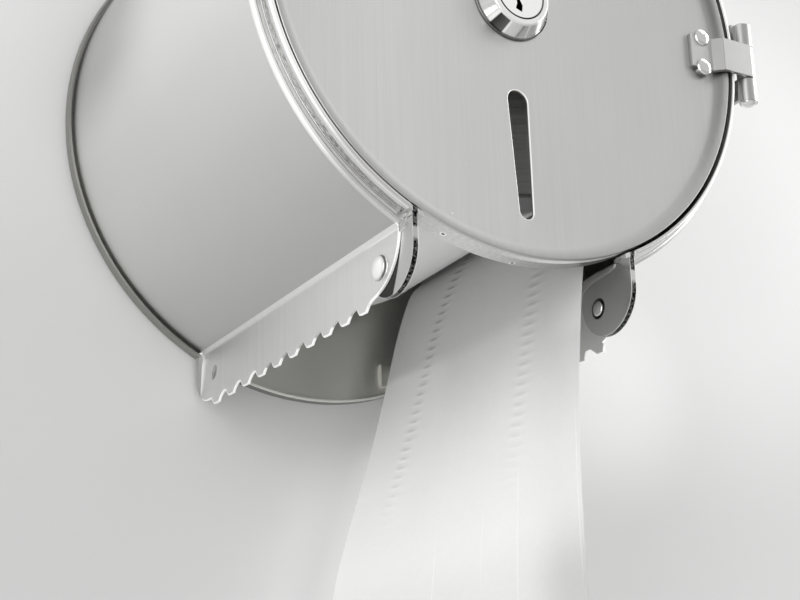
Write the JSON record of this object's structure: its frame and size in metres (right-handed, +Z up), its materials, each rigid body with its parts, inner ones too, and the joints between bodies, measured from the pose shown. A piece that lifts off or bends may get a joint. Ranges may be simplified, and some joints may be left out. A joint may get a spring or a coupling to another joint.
{
  "type": "toilet roll dispenser",
  "caption": "Round wall-mounted sheet-steel toilet roll dispenser with a side-hinged locking door, a viewing slot and serrated blades beside the paper mouth.",
  "frame": {"origin": "centre of the flat back face that lies on the room wall, on the drum's axis", "axes": "+Y into the room wall along the drum's axis, the door faces -Y, +Z up, +X to the right of someone facing the door"},
  "size_m": [0.1611, 0.1231, 0.2635],
  "materials": {
    "drum_steel": "satin brushed stainless sheet, grain round the drum",
    "door_steel": "satin stainless sheet with a fine vertical grain",
    "blade_steel": "pale satin stainless strip with bright cut edges",
    "ear_steel": "satin stainless sheet with rough sheared edges",
    "back_steel": "dull grey steel sheet",
    "bright_steel": "turned steel",
    "fastener_steel": "polished rivets and screws",
    "lock_chrome": "bright chrome plate",
    "zinc_steel": "dull zinc-plated steel",
    "hub_nylon": "white moulded nylon",
    "core_board": "grey-brown spiral-wound board",
    "roll_paper": "white tissue, wound",
    "tail_paper": "white tissue with two rows of small embossed marks"
  },
  "bodies": {
    "housing": {"back_plate": "back_steel", "drum_wall": "drum_steel", "front_ring": "drum_steel", "ear_left": "ear_steel", "ear_right": "ear_steel", "blade_left": "blade_steel", "blade_right": "blade_steel", "ear_rivets": "fastener_steel", "rear_lug_left": "back_steel", "rear_lug_right": "back_steel", "spindle_flange": "bright_steel", "flange_screws": "fastener_steel", "spindle": "bright_steel", "hub_clip": "zinc_steel", "keeper_cup": "bright_steel", "keeper_screw": "fastener_steel", "hinge_body_leaf": "drum_steel", "hinge_leaf_rivets": "fastener_steel", "hinge_pin": "fastener_steel", "paper_tail": "tail_paper"},
    "door": {"door_panel": "door_steel", "hinge_door_leaf": "drum_steel", "door_leaf_rivets": "fastener_steel", "lock_body": "lock_chrome", "lock_washer": "zinc_steel", "lock_nut": "lock_chrome"},
    "lock_cylinder": {"lock_plug": "lock_chrome", "lock_cam": "zinc_steel", "cam_screw": "fastener_steel"},
    "paper_roll": {"core_hub": "hub_nylon", "hub_cap": "hub_nylon", "roll_core": "core_board", "toilet_roll": "roll_paper"}
  },
  "joints": [
    {"name": "door_swing", "type": "hinge", "parent": "housing", "child": "door", "pos_m": [0.08, -0.119, 0], "axis": [0, 0, 1], "range_deg": [0, 115]},
    {"name": "lock_turn", "type": "hinge", "parent": "door", "child": "lock_cylinder", "pos_m": [0, -0.118, 0], "axis": [0, 1, 0], "range_deg": [0, 90]},
    {"name": "roll_spin", "type": "hinge", "parent": "housing", "child": "paper_roll", "pos_m": [0, -0.05, 0], "axis": [0, 1, 0], "continuous": true}
  ]
}
